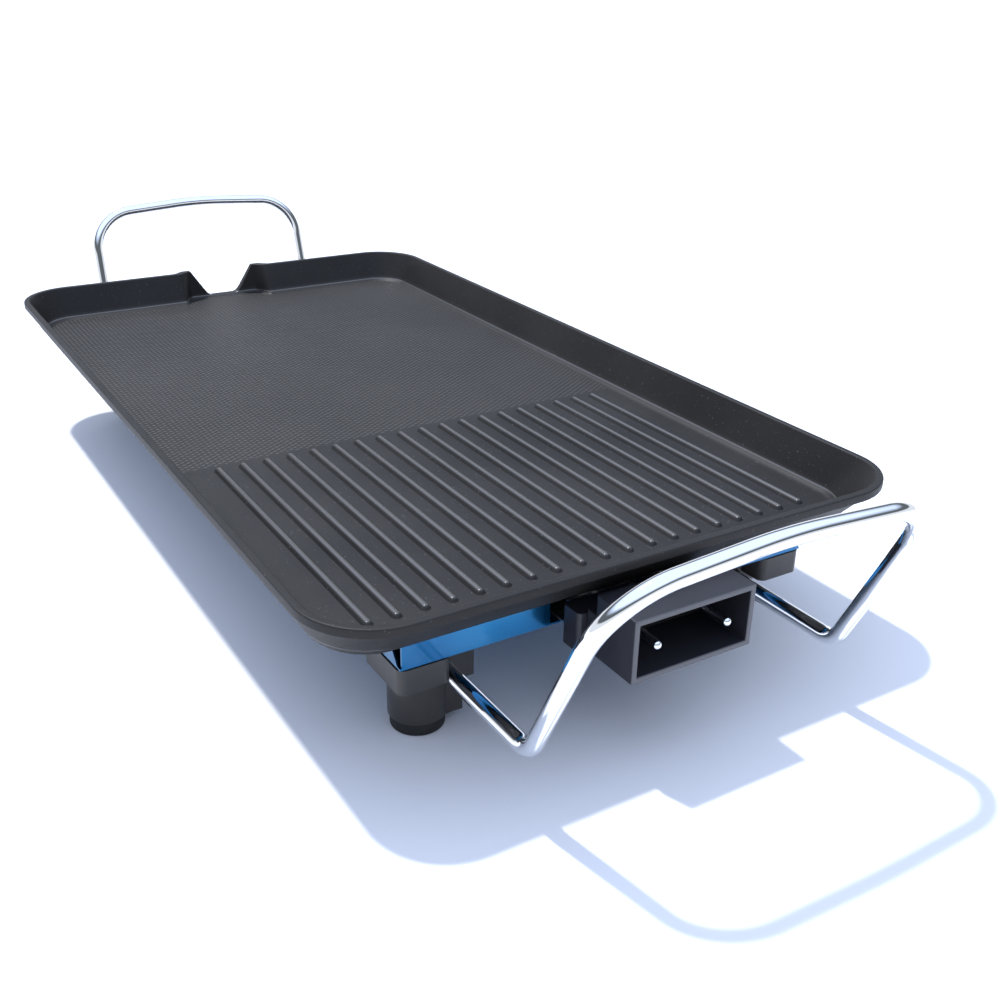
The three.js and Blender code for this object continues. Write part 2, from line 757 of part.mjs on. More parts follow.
// Contact pin with a round tip, level with the shroud's mouth.
function contactPin() {
  const radius = pinDiameter / 2;
  const length = mouthX - pinRearX;
  const steps = 3;
  const dome = Array.from({ length: steps + 1 }, (_, i) => {
    const angle = i / steps * Math.PI / 2;
    return [radius * Math.cos(angle), length - radius * (1 - Math.sin(angle))];
  });
  return turned([[0, 0], [radius, 0], ...dome], 20).rotateY(Math.PI / 2).translate(pinRearX, 0, heaterZ);
}

function ceramicBead() {
  const bead = cylinder(beadDiameter / 2, 0, beadLength, { axis: 'x', sides: 20 });
  const bore = cylinder(pinBore, beadEnd - fitGap, beadLength + past, { axis: 'x', sides: 20 });
  return cut(bead, bore).translate(beadRearX, 0, heaterZ);
}

const pinShape = contactPin();
const beadShape = ceramicBead();

sides.forEach(({ name, sy }) => {
  addPiece(`contact_pin_${name}`, pinShape, chrome).position.y = sy * pinY;
  addPiece(`ceramic_bead_${name}`, beadShape, ceramic).position.y = sy * pinY;
});

// ---------- heat control inlet ----------

// Moulded box behind the shroud, open towards the heater's terminals.
function terminalBox() {
  const outer = roundedBlock(boxRearX, boxFrontX, -boxWidth / 2, boxWidth / 2, boxBottom, boxTop, boxCorner);
  const half = boxWidth / 2 - boxWall;
  const roomRearX = boxRearX - past;
  const inside = box(roomRearX, boxFrontX - boxWall, -half, half, boxBottom + boxWall, boxTop - boxWall);
  const bores = sides.map(({ sy }) => (
    cylinder(pinBore, boxRearX, boxFrontX + past, { y: sy * pinY, z: heaterZ, axis: 'x' })
  ));
  const probe = probeHole(boxRearX, boxFrontX + past);
  return cut(outer, inside, ...bores, probe, ...boardScrewHoles(boxRearX, boxFrontX + past));
}

const probeRadius = probeBore / 2 + probeWall;
const probeZ = plateUnderside - fitGap - probeRadius;
const boardFrontX = shroudRearX + boardSheet;
const boardScrewY = shroudWidth / 2 - shroudWall - boardScrewInset;

function probeHole(x0, x1) {
  return cylinder(probeRadius + fitGap, x0, x1, { z: probeZ, axis: 'x' });
}

function boardScrewHoles(x0, x1) {
  return sides.map(({ sy }) => (
    cylinder(smallScrewBore, x0, x1, { y: sy * boardScrewY, z: heaterZ, axis: 'x', sides: 16 })
  ));
}

// Rectangular shroud round the pins. Its upper rear is cut back to clear the plate's wall.
function socketShroud() {
  const z0 = shroudCentreZ - shroudHeight / 2;
  const z1 = shroudCentreZ + shroudHeight / 2;
  const stepX = plateLength / 2 - shroudStep;
  const half = shroudWidth / 2;
  const lower = box(shroudRearX, mouthX, -half, half, z0, shoulderZ);
  const upper = box(stepX, mouthX, -half, half, shoulderZ - past, z1);
  const inner = half - shroudWall;
  const roof = z1 - shroudWall;
  const room = z0 + shroudWall;
  const lowerRoom = box(shroudRearX - past, mouthX + past, -inner, inner, room, shoulderZ - shoulderRoof);
  const upperRoom = box(stepX + shroudWall, mouthX + past, -inner, inner, room, roof);
  return cut(join(lower, upper), lowerRoom, upperRoom);
}

// Board that closes the back of the shroud and carries the pins.
function terminalBoard() {
  const boardRearX = shroudRearX - past;
  const inner = shroudWidth / 2 - shroudWall - fitGap;
  const z0 = shroudCentreZ - shroudHeight / 2 + shroudWall + fitGap;
  const sheet = box(shroudRearX, boardFrontX, -inner, inner, z0, shoulderZ - shoulderRoof - fitGap);
  const bores = sides.map(({ sy }) => (
    cylinder(pinBore, boardRearX, boardFrontX + past, { y: sy * pinY, z: heaterZ, axis: 'x' })
  ));
  const probe = probeHole(boardRearX, boardFrontX + past);
  return cut(sheet, ...bores, probe, ...boardScrewHoles(boardRearX, boardFrontX + past));
}

// Tube that guides the control's probe to the underside of the plate, closed at its far end.
function probeGuide() {
  const start = boardFrontX - probeLength;
  const along = { z: probeZ, axis: 'x', sides: 20 };
  const tube = cylinder(probeRadius, start, boardFrontX, along);
  const bore = cylinder(probeBore / 2, start + probeEnd, boardFrontX + past, along);
  return cut(tube, bore);
}

// Sheet angle: its foot lies on the tray, its upright backs the terminal box.
function socketBracket() {
  const half = bracketWidth / 2;
  const rearFace = boxRearX - fitGap;
  const holeStart = rearFace - bracketSheet - past;
  const footZ = trayFloorTop + fitGap;
  const foot = box(rearFace - bracketReach, rearFace, -half, half, footZ, footZ + bracketSheet);
  const upright = box(rearFace - bracketSheet, rearFace, -half, half, footZ, boxTop);
  const beadHoles = sides.map(({ sy }) => (
    cylinder(beadDiameter / 2 + fitGap, holeStart, rearFace + past, { y: sy * pinY, z: heaterZ, axis: 'x' })
  ));
  const footHoles = sides.map(({ sy }) => bracketScrewHole(sy, footZ - past, footZ + bracketSheet + past));
  const throughHoles = boardScrewHoles(holeStart, rearFace + past);
  const probe = probeHole(holeStart, rearFace + past);
  return cut(join(foot, upright), ...beadHoles, ...footHoles, ...throughHoles, probe);
}

const bracketScrewX = boxRearX - fitGap - bracketReach / 2;

function bracketScrewHole(side, z0, z1) {
  const at = { x: bracketScrewX, y: side * bracketScrewY, sides: 16 };
  return cylinder(smallScrewBore, z0, z1, at);
}

const bracketScrew = panScrew(
  smallScrewDiameter,
  smallScrewHead,
  smallScrewHeadHeight,
  trayBottom - fitGap,
  trayFloorTop + fitGap + bracketSheet + screwPast,
);
const boardScrewLength = boardSheet + boxLength + bracketSheet + 3 * fitGap + screwPast;
const boardScrew = panScrew(smallScrewDiameter, smallScrewHead, smallScrewHeadHeight, 0, boardScrewLength);

addPiece('reflector_tray', reflectorTray(), blueFilm);
addPiece('socket_bracket', socketBracket(), zincSteel);
sides.forEach(({ name, sy }) => {
  const footScrew = addPiece(`bracket_screw_${name}`, bracketScrew, zincSteel);
  footScrew.position.set(bracketScrewX, sy * bracketScrewY, 0);
  const screw = addPiece(`board_screw_${name}`, boardScrew, zincSteel);
  screw.rotation.y = -Math.PI / 2;
  screw.position.set(boardFrontX + fitGap, sy * boardScrewY, heaterZ);
});

addPiece('terminal_box', terminalBox(), housingPlastic);
addPiece('socket_shroud', socketShroud(), housingPlastic);
addPiece('terminal_board', terminalBoard(), phenolic);
addPiece('probe_guide', probeGuide(), zincSteel);

// The two handles reach out differently, so the whole is moved to stand centred on the origin.
const reach = (lean) => rodBendX + handleRise * Math.sin(lean * Math.PI / 180) + rodRadius;
griddle.position.x = (reach(handleLean.drain) - reach(handleLean.inlet)) / 2;

export default group;
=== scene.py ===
import json
import math

import bmesh
import bpy
import numpy as np
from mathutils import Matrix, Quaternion, Vector


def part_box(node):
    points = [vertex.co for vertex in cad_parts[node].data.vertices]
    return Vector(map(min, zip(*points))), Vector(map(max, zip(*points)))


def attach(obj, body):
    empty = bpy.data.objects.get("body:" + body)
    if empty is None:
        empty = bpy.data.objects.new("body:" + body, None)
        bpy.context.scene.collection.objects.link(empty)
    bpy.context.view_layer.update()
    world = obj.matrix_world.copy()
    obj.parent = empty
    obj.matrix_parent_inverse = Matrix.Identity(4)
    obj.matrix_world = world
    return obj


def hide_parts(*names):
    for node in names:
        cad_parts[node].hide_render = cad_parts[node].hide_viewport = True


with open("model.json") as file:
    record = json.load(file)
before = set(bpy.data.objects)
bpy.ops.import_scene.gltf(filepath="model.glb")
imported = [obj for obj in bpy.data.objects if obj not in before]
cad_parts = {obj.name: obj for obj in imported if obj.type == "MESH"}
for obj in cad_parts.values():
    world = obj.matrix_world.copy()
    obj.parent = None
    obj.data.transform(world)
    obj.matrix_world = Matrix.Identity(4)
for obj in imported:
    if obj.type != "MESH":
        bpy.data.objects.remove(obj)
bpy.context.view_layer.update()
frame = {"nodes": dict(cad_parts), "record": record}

nodes = frame["nodes"]
mm = 0.001
print("frame loaded with", len(nodes), "nodes")

# The camera comes first. Heading is turned from +X towards +Y, drop is how far it looks down.
cameraView = {
    "place": (0.5488, -0.2666, 0.2868),
    "heading": 148.0,
    "drop": 24.96,
    "roll": 1.16,
    "lens": 42.32,
    "sensor": 36,
}


def addCamera():
    heading = math.radians(cameraView["heading"])
    drop = math.radians(cameraView["drop"])
    look = Vector((math.cos(heading) * math.cos(drop), math.sin(heading) * math.cos(drop), -math.sin(drop)))
    data = bpy.data.cameras.new("camera")
    data.lens = cameraView["lens"]
    data.sensor_width = cameraView["sensor"]
    camera = bpy.data.objects.new("camera", data)
    bpy.context.scene.collection.objects.link(camera)
    turn = Quaternion((0, 0, 1), math.radians(cameraView["roll"]))
    camera.rotation_mode = "QUATERNION"
    camera.rotation_quaternion = look.to_track_quat("-Z", "Y") @ turn
    camera.location = cameraView["place"]
    bpy.context.scene.camera = camera


addCamera()
print("camera placed")


# A wire is a node's output, and arithmetic on it adds Math nodes.
class Wire:
    def __init__(self, finish, socket):
        self.finish = finish
        self.socket = socket

    def math(self, operation, *values):
        return self.finish.node("ShaderNodeMath", {"operation": operation}, dict(enumerate(values)))

    def __add__(self, other):
        return self.math("ADD", self, other)

    def __radd__(self, other):
        return self.math("ADD", other, self)

    def __sub__(self, other):
        return self.math("SUBTRACT", self, other)

    def __rsub__(self, other):
        return self.math("SUBTRACT", other, self)

    def __mul__(self, other):
        return self.math("MULTIPLY", self, other)

    def __rmul__(self, other):
        return self.math("MULTIPLY", other, self)

    def __truediv__(self, other):
        return self.math("DIVIDE", self, other)

    def __rtruediv__(self, other):
        return self.math("DIVIDE", other, self)

    def cosine(self):
        return self.math("COSINE", self)

    def swing(self, base, amount):
        # base where this wire is 0, base + amount where it is 1
        return base + self * amount

    def between(self, low, high):
        # 0 below low, 1 above high, smooth between them
        settings = {"interpolation_type": "SMOOTHSTEP"}
        sockets = {"Value": self, "From Min": low, "From Max": high}
        return self.finish.node("ShaderNodeMapRange", settings, sockets)


def setStops(ramp, stops):
    while len(ramp.elements) < len(stops):
        ramp.elements.new(0.5)
    for element, (place, colour) in zip(ramp.elements, stops):
        element.position = place
        element.color = colour


class Finish:
    def __init__(self, name, fixed):
        self.material = bpy.data.materials.new(name)
        self.material.use_nodes = True
        self.tree = self.material.node_tree
        self.shader = self.tree.nodes["Principled BSDF"]
        for socket, value in fixed.items():
            self.shader.inputs[socket].default_value = value

    def node(self, kind, settings=None, sockets=None, out=0):
        made = self.tree.nodes.new(kind)
        for key, value in (settings or {}).items():
            if key == "stops":
                setStops(made.color_ramp, value)
            else:
                setattr(made, key, value)
        for key, value in (sockets or {}).items():
            if isinstance(value, Wire):
                self.tree.links.new(value.socket, made.inputs[key])
            else:
                made.inputs[key].default_value = value
        return Wire(self, made.outputs[out])

    def place(self):
        return self.node("ShaderNodeTexCoord", out="Object")

    def along(self, place):
        split = self.node("ShaderNodeSeparateXYZ", sockets={0: place}).socket.node
        return [Wire(self, output) for output in split.outputs]

    def noise(self, place, scale, detail=3.0, rough=0.55):
        return self.node("ShaderNodeTexNoise", sockets={
            "Vector": place, "Scale": scale, "Detail": detail, "Roughness": rough})

    def stretched(self, place, scale):
        return self.node("ShaderNodeMapping", sockets={"Vector": place, "Scale": scale})

    def mix(self, factor, a, b):
        return self.node("ShaderNodeMix", {"data_type": "RGBA"}, {0: factor, 6: a, 7: b}, out=2)

    def feed(self, socket, wire):
        self.tree.links.new(wire.socket, self.shader.inputs[socket])

    def bump(self, height, depth, strength=1.0):
        self.feed("Normal", self.node("ShaderNodeBump", sockets={
            "Height": height, "Distance": depth, "Strength": strength}))


def grey(value, warm=0.0):
    return (value * (1 + warm), value, value * (1 - warm), 1.0)


# Ends that more than one piece or material is measured from.
plateLow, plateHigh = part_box("grill_plate")
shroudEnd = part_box("socket_shroud")[1].x

plateShape = {
    "length": 500 * mm, "width": 280 * mm, "corner": 32 * mm,
    "depth": 19.4 * mm, "floor": 3.5 * mm, "wall": 3 * mm, "spread": 9 * mm, "inletSpread": 18 * mm,
    "lip": 4.2 * mm, "rim": 3.2 * mm, "fillet": 6 * mm, "floorReach": 9 * mm,
    "edge": 0.8 * mm, "heel": 9 * mm, "undersideReach": 15 * mm,
    "spout": 4 * mm, "spoutFlare": 9 * mm, "spoutLean": 2 * mm, "spoutWall": 4 * mm,
    "notchTop": 45 * mm, "notchBottom": 21 * mm, "sill": 1.2 * mm, "notchCorner": 3 * mm,
    "ribs": 19, "ribPitch": 12.1 * mm, "ribWidth": 4.4 * mm, "ribHeight": 1.8 * mm,
    "ribLength": 166.5 * mm, "ribInset": 35 * mm, "textureEnd": 45 * mm,
    "fineReach": 40 * mm, "drainReach": 45 * mm, "underTuck": (-4 * mm, -1 * mm),
    "step": 1.2 * mm, "sharp": 50,
}
plateMiddleX = plateHigh.x - plateShape["length"] / 2
rimZ = plateHigh.z
floorZ = rimZ - plateShape["depth"]
print("plate's middle at", round(plateMiddleX, 5), "cooking floor at", round(floorZ, 5))

finishes = {}


def castCoat():
    # Dimples are two crossed rows of waves: (1 + cos a) (1 + cos b) / 4. They cover the plain half of the
    # cooking floor, and the dimples' crowns and the tops of the ribs carry a painted highlight, a paler grey.
    look = {
        "dark": grey(0.010, 0.08), "light": grey(0.018, 0.08), "paintedHighlight": grey(0.075, 0.08), "speck": grey(0.13),
        "cloudNoise": (14, 3), "cloudRange": (0.3, 0.7), "grainNoise": (1400, 4), "grain": 0.035 * mm,
        "speckNoise": (900, 1), "speckRange": (0.70, 0.76), "speckMix": 0.5,
        "rowAngle": 31, "rowPitch": 2.7 * mm, "dimple": 0.45 * mm, "dimpleHighlight": 0.8, "ribHighlight": 0.7,
        "floorEnd": (0.04 * mm, 0.2 * mm),
        "ribTopStart": (1.2 * mm, 1.8 * mm), "ribTopEnd": (1.9 * mm, 2.2 * mm),
        "rough": 0.42, "grainRough": 0.12, "cloudRough": 0.06,
    }
    finish = Finish("cast_coat", {"Specular IOR Level": 0.32, "Coat Roughness": 0.2})
    place = finish.place()
    x, y, z = finish.along(place)
    above = z - floorZ
    half = 1 - (x - plateMiddleX).between(plateShape["textureEnd"] - 1.5 * mm, plateShape["textureEnd"])
    textured = half * (1 - above.between(*look["floorEnd"]))
    angle = math.radians(look["rowAngle"])
    turn = 2 * math.pi / look["rowPitch"]
    rowA = ((x * math.cos(angle) + y * math.sin(angle)) * turn).cosine()
    rowB = ((x * math.cos(angle) - y * math.sin(angle)) * turn).cosine()
    dimples = (rowA + 1) * (rowB + 1) * 0.25 * textured
    ribTop = above.between(*look["ribTopStart"]) - above.between(*look["ribTopEnd"])
    grain = finish.noise(place, *look["grainNoise"])
    cloud = finish.noise(place, *look["cloudNoise"])
    speck = finish.noise(place, *look["speckNoise"]).between(*look["speckRange"])
    tone = finish.mix(cloud.between(*look["cloudRange"]), look["dark"], look["light"])
    # painted highlight: dimple crowns and rib tops are mixed towards a paler grey
    tone = finish.mix(dimples * look["dimpleHighlight"] + ribTop * look["ribHighlight"], tone, look["paintedHighlight"])
    finish.feed("Base Color", finish.mix(speck * look["speckMix"], tone, look["speck"]))
    finish.feed("Roughness", look["rough"] + grain * look["grainRough"] + cloud * look["cloudRough"])
    finish.feed("Coat Weight", ribTop)
    finish.bump(dimples * look["dimple"] + grain * look["grain"], 1.0)
    return finish.material


def blueFilm():
    look = {"deep": (0.004, 0.125, 0.30, 1), "pale": (0.009, 0.18, 0.39, 1), "swayRange": (0.35, 0.65),
            "swayNoise": (22, 2), "swayStretch": (1, 1, 0.3), "filmNoise": (160, 2),
            "metal": (0.86, 0.08), "rough": (0.16, 0.12), "wave": 0.12 * mm, "ripple": 0.006 * mm}
    finish = Finish("blue_film", {"Specular IOR Level": 0.5, "Coat Roughness": 0.08, "Coat Weight": 0.5})
    place = finish.place()
    sway = finish.noise(finish.stretched(place, look["swayStretch"]), *look["swayNoise"])
    film = finish.noise(place, *look["filmNoise"])
    finish.feed("Base Color", finish.mix(sway.between(*look["swayRange"]), look["deep"], look["pale"]))
    finish.feed("Metallic", film.swing(*look["metal"]))
    finish.feed("Roughness", film.swing(*look["rough"]))
    finish.bump(sway * look["wave"] + film * look["ripple"], 1.0)
    return finish.material


def bakelite():
    look = {"dark": grey(0.017, 0.08), "light": grey(0.038, 0.12), "mottleNoise": (90, 4),
            "skinNoise": (1100, 3), "rough": (0.26, 0.14), "skin": 0.02 * mm, "mottle": 0.05 * mm}
    finish = Finish("bakelite", {"Specular IOR Level": 0.55})
    place = finish.place()
    mottle = finish.noise(place, *look["mottleNoise"])
    skin = finish.noise(place, *look["skinNoise"])
    finish.feed("Base Color", finish.mix(mottle, look["dark"], look["light"]))
    finish.feed("Roughness", mottle.swing(*look["rough"]))
    finish.bump(skin * look["skin"] + mottle * look["mottle"], 1.0)
    return finish.material


def housingPlastic():
    # The shroud's front edge is painted paler: a painted highlight along its rim.
    look = {"dark": (0.014, 0.014, 0.019, 1), "light": (0.025, 0.025, 0.032, 1),
            "rim": (0.105, 0.105, 0.115, 1), "edgeHighlightStart": 0.5 * mm, "edgeHighlightFull": 0.1 * mm,
            "cloudNoise": (60, 3), "skinNoise": (1600, 4),
            "rough": (0.36, 0.16), "skin": 0.03 * mm}
    finish = Finish("housing_plastic", {"Specular IOR Level": 0.5})
    place = finish.place()
    x = finish.along(place)[0]
    rim = x.between(shroudEnd - look["edgeHighlightStart"], shroudEnd - look["edgeHighlightFull"])
    skin = finish.noise(place, *look["skinNoise"])
    cloud = finish.noise(place, *look["cloudNoise"])
    body = finish.mix(cloud, look["dark"], look["light"])
    # painted highlight: the band at the front edge is mixed to a pale grey
    finish.feed("Base Color", finish.mix(rim, body, look["rim"]))
    finish.feed("Roughness", skin.swing(*look["rough"]))
    finish.bump(skin * look["skin"], 1.0)
    return finish.material


def chromePlate():
    look = {"dark": (0.80, 0.82, 0.85, 1), "light": (0.90, 0.91, 0.92, 1), "hazeNoise": (40, 3),
            "fineNoise": (2200, 2), "rough": 0.035, "hazeRough": 0.05, "fineRough": 0.02, "wave": 0.02 * mm}
    finish = Finish("chrome_plate", {"Metallic": 1.0})
    place = finish.place()
    haze = finish.noise(place, *look["hazeNoise"])
    fine = finish.noise(place, *look["fineNoise"])
    finish.feed("Base Color", finish.mix(haze, look["dark"], look["light"]))
    finish.feed("Roughness", look["rough"] + haze * look["hazeRough"] + fine * look["fineRough"])
    finish.bump(haze * look["wave"], 1.0)
    return finish.material


def zincSteel():
    look = {"dark": (0.46, 0.47, 0.47, 1), "light": (0.64, 0.65, 0.66, 1), "spangle": 420.0,
            "brushNoise": (180, 3), "brushStretch": (1, 14, 14), "rough": (0.24, 0.2), "brush": 0.02 * mm}
    finish = Finish("zinc_steel", {"Metallic": 0.95})
    place = finish.place()
    spangle = finish.node("ShaderNodeTexVoronoi", sockets={"Vector": place, "Scale": look["spangle"]})
    brushed = finish.noise(finish.stretched(place, look["brushStretch"]), *look["brushNoise"])
    finish.feed("Base Color", finish.mix(spangle, look["dark"], look["light"]))
    finish.feed("Roughness", brushed.swing(*look["rough"]))
    finish.bump(brushed * look["brush"], 1.0)
    return finish.material


def sheathSteel():
    look = {"tints": [(0.25, (0.10, 0.09, 0.08, 1)), (0.5, (0.20, 0.17, 0.13, 1)),
                      (0.75, (0.13, 0.14, 0.17, 1))],
            "heatNoise": (26, 4), "scaleNoise": (900, 3), "rough": (0.38, 0.2), "scale": 0.03 * mm}
    finish = Finish("sheath_steel", {"Metallic": 0.9})
    place = finish.place()
    heat = finish.noise(place, *look["heatNoise"])
    scale = finish.noise(place, *look["scaleNoise"])
    finish.feed("Base Color", finish.node("ShaderNodeValToRGB", {"stops": look["tints"]}, {0: heat}))
    finish.feed("Roughness", scale.swing(*look["rough"]))
    finish.bump(scale * look["scale"], 1.0)
    return finish.material


def ceramic():
    look = {"clean": (0.82, 0.79, 0.71, 1), "stained": (0.62, 0.57, 0.48, 1), "stainNoise": (140, 3),
            "stainRange": (0.4, 0.75), "grainNoise": (1800, 4), "rough": (0.6, 0.2), "grain": 0.04 * mm}
    finish = Finish("ceramic", {"Specular IOR Level": 0.4})
    place = finish.place()
    grain = finish.noise(place, *look["grainNoise"])
    stain = finish.noise(place, *look["stainNoise"]).between(*look["stainRange"])
    finish.feed("Base Color", finish.mix(stain, look["clean"], look["stained"]))
    finish.feed("Roughness", grain.swing(*look["rough"]))
    finish.bump(grain * look["grain"], 1.0)
    return finish.material


def footRubber():
    look = {"dark": grey(0.013), "dusty": grey(0.035), "dustNoise": (70, 3), "dustRange": (0.45, 0.8),
            "grainNoise": (1300, 4), "rough": (0.62, 0.25), "grain": 0.05 * mm}
    finish = Finish("foot_rubber", {"Specular IOR Level": 0.4})
    place = finish.place()
    grain = finish.noise(place, *look["grainNoise"])
    dust = finish.noise(place, *look["dustNoise"]).between(*look["dustRange"])
    finish.feed("Base Color", finish.mix(dust, look["dark"], look["dusty"]))
    finish.feed("Roughness", grain.swing(*look["rough"]))
    finish.bump(grain * look["grain"], 1.0)
    return finish.material


def phenolicBoard():
    look = {"dark": (0.008, 0.008, 0.010, 1), "light": (0.020, 0.017, 0.016, 1), "weaveNoise": (260, 3),
            "weaveStretch": (1, 1, 9), "rough": (0.5, 0.2), "weave": 0.03 * mm}
    finish = Finish("phenolic_board", {"Specular IOR Level": 0.45})
    place = finish.place()
    weave = finish.noise(finish.stretched(place, look["weaveStretch"]), *look["weaveNoise"])
    finish.feed("Base Color", finish.mix(weave, look["dark"], look["light"]))
    finish.feed("Roughness", weave.swing(*look["rough"]))
    finish.bump(weave * look["weave"], 1.0)
    return finish.material


for slot, make in {
    "nonstick_casting": castCoat, "blue_film_steel": blueFilm, "bakelite": bakelite,
    "housing_plastic": housingPlastic, "chrome": chromePlate, "zinc_steel": zincSteel,
    "sheath_steel": sheathSteel, "ceramic": ceramic, "rubber": footRubber, "phenolic": phenolicBoard,
}.items():
    finishes[slot] = make()
slotOf = {part["node"]: part["material_slot"] for part in frame["record"]["subparts"]}
print("finishes made:", ", ".join(finishes))


def roundedPath(corners, radii, steps=8):
    # Straight runs between corner points, each inner corner replaced by a circular arc:
    # the arc's points are centre + radius times the direction turned evenly from start to end.
    points = np.array(corners, float)
    out = [points[:1]]
    for before, corner, after, radius in zip(points, points[1:], points[2:], radii):
        inward = (corner - before) / np.linalg.norm(corner - before)
        outward = (after - corner) / np.linalg.norm(after - corner)
        turn = math.acos(np.clip(inward @ outward, -1, 1))
        setback = radius * math.tan(turn / 2)
        toCentre = (outward - inward) / np.linalg.norm(outward - inward)
        centre = corner + toCentre * radius / math.cos(turn / 2)
        first = (corner - inward * setback - centre) / radius
        last = (corner + outward * setback - centre) / radius
        part = np.linspace(0, 1, steps + 1)[:, None]
        arc = (np.sin((1 - part) * turn) * first + np.sin(part * turn) * last) / math.sin(turn)
        out.append(centre + radius * arc)
    out.append(points[-1:])
    return np.concatenate(out)


def ringFaces(rows, columns, closeRows):
    # Squares between neighbouring rings: point (r, c) has the index r * columns + c, and each ring closes.
    r = np.arange(rows if closeRows else rows - 1)[:, None]
    c = np.arange(columns)[None, :]
    nextRow = (r + 1) % rows
    nextColumn = (c + 1) % columns
    quad = [r * columns + c, r * columns + nextColumn, nextRow * columns + nextColumn, nextRow * columns + c]
    return np.stack(np.broadcast_arrays(*quad), -1).reshape(-1, 4)


def shellOf(points, closeRows=False):
    # One closed skin from rows of rings: the last ring joins the first, or both become flat caps.
    rows, columns = points.shape[:2]
    faces = ringFaces(rows, columns, closeRows).tolist()
    if not closeRows:
        faces.append(list(range(columns))[::-1])
        faces.append(list(range((rows - 1) * columns, rows * columns)))
    return points.reshape(-1, 3), faces


def turnedShell(profile, centre, axis="z", sides=40, closed=False):
    # profile rows are (radius, height): (radius cos a, radius sin a, height) about the axis
    angle = np.linspace(0, 2 * math.pi, sides, endpoint=False)
    radius, height = np.array(profile, float).T
    a = radius[:, None] * np.cos(angle)
    b = radius[:, None] * np.sin(angle)
    h = np.broadcast_to(height[:, None], a.shape)
    shape = np.stack([a, b, h] if axis == "z" else [h, a, b], -1)
    return shellOf(shape + np.array(centre), closeRows=closed)


def tubeShell(path, radius, reference, sides=28):
    # a circle carried along the path: point + radius (cos a side + sin a up)
    path = np.array(path, float)
    tangent = np.gradient(path, axis=0)
    tangent /= np.linalg.norm(tangent, axis=1, keepdims=True)
    side = np.cross(np.array(reference, float), tangent)
    side /= np.linalg.norm(side, axis=1, keepdims=True)
    up = np.cross(tangent, side)
    angle = np.linspace(0, 2 * math.pi, sides, endpoint=False)[None, :, None]
    ring = path[:, None] + radius * (np.cos(angle) * side[:, None] + np.sin(angle) * up[:, None])
    return shellOf(ring)


def middleOf(node):
    low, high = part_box(node)
    return (low + high) / 2


def addPiece(name, shells, replaced, sharp=40):
    # One mesh from several shells, each shell's indices moved on by the points before it.
    verts, faces, start = [], [], 0
    for points, shellFaces in shells:
        verts.append(points)
        faces += [[index + start for index in face] for face in shellFaces]
        start += len(points)
    mesh = bpy.data.meshes.new(name)
    mesh.from_pydata(np.concatenate(verts).tolist(), [], faces)
    work = bmesh.new()
    work.from_mesh(mesh)
    bmesh.ops.remove_doubles(work, verts=work.verts, dist=2e-6)
    bmesh.ops.dissolve_degenerate(work, edges=work.edges, dist=1e-7)
    bmesh.ops.recalc_face_normals(work, faces=work.faces)
    work.to_mesh(mesh)
    work.free()
    finishPiece(name, mesh, replaced, sharp)


def finishPiece(name, mesh, replaced, sharp):
    # Edges that turn more than sharp degrees stay hard, and the piece takes its CAD node's material.
    mesh.shade_smooth()
    mesh.set_sharp_from_angle(angle=math.radians(sharp))
    piece = bpy.data.objects.new(name, mesh)
    bpy.context.scene.collection.objects.link(piece)
    slot = slotOf[replaced[0]]
    mesh.materials.clear()
    mesh.materials.append(finishes[slot])
    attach(piece, "root")
    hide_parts(*replaced)
    return piece


softening = {"segments": 3, "sharp": 35, "flat": 1}


def softened(node, width):
    # The CAD piece's own shape, merged, with its flat faces joined and its edges rounded.
    mesh = nodes[node].data.copy()
    if "custom_normal" in mesh.attributes:
        mesh.attributes.remove(mesh.attributes["custom_normal"])
    work = bmesh.new()
    work.from_mesh(mesh)
    bmesh.ops.remove_doubles(work, verts=work.verts, dist=2e-6)
    flat = math.radians(softening["flat"])
    bmesh.ops.dissolve_limit(work, angle_limit=flat, verts=work.verts, edges=work.edges)
    work.to_mesh(mesh)
    work.free()
    piece = finishPiece(node + "_rounded", mesh, [node], softening["sharp"])
    edge = piece.modifiers.new("edge", "BEVEL")
    edge.width = width
    edge.segments = softening["segments"]
    edge.limit_method = "ANGLE"
    edge.angle_limit = math.radians(softening["sharp"])
    edge.harden_normals = True


def smooth(value):
    # 3 t^2 - 2 t^3, with t held between 0 and 1
    t = np.clip(value, 0, 1)
    return t * t * (3 - 2 * t)


def plateOutline():
    # Points and outward directions round a rounded rectangle, closer together by the drain notch.
    s = plateShape
    cx = s["length"] / 2 - s["corner"]
    cy = s["width"] / 2 - s["corner"]
    far = np.linspace(cy, s["fineReach"], 12)
    near = np.linspace(s["fineReach"], -s["fineReach"], 201)
    drainY = np.concatenate([far, near[1:-1], -far[::-1]])
    sideX = np.linspace(-cx, cx, 40)
    angle = np.linspace(0, math.pi / 2, 25)
    runs = [
        (np.full(16, s["length"] / 2), np.linspace(-cy, cy, 16), 0.0),
        (-sideX, np.full(40, s["width"] / 2), math.pi / 2),
        (np.full(len(drainY), -s["length"] / 2), drainY, math.pi),
        (sideX, np.full(40, -s["width"] / 2), 1.5 * math.pi),
    ]
    corners = [(cx, cy, 0.0), (-cx, cy, 0.5 * math.pi), (-cx, -cy, math.pi), (cx, -cy, 1.5 * math.pi)]
    place, outward = [], []
    for (x, y, direction), (mx, my, start) in zip(runs, corners):
        normal = np.broadcast_to([math.cos(direction), math.sin(direction)], (len(x), 2))
        place.append(np.stack([x, y], -1))
        outward.append(normal)
        bend = np.stack([np.cos(start + angle), np.sin(start + angle)], -1)[1:-1]
        place.append(np.array([mx, my]) + s["corner"] * bend)
        outward.append(bend)
    return np.concatenate(place), np.concatenate(outward)


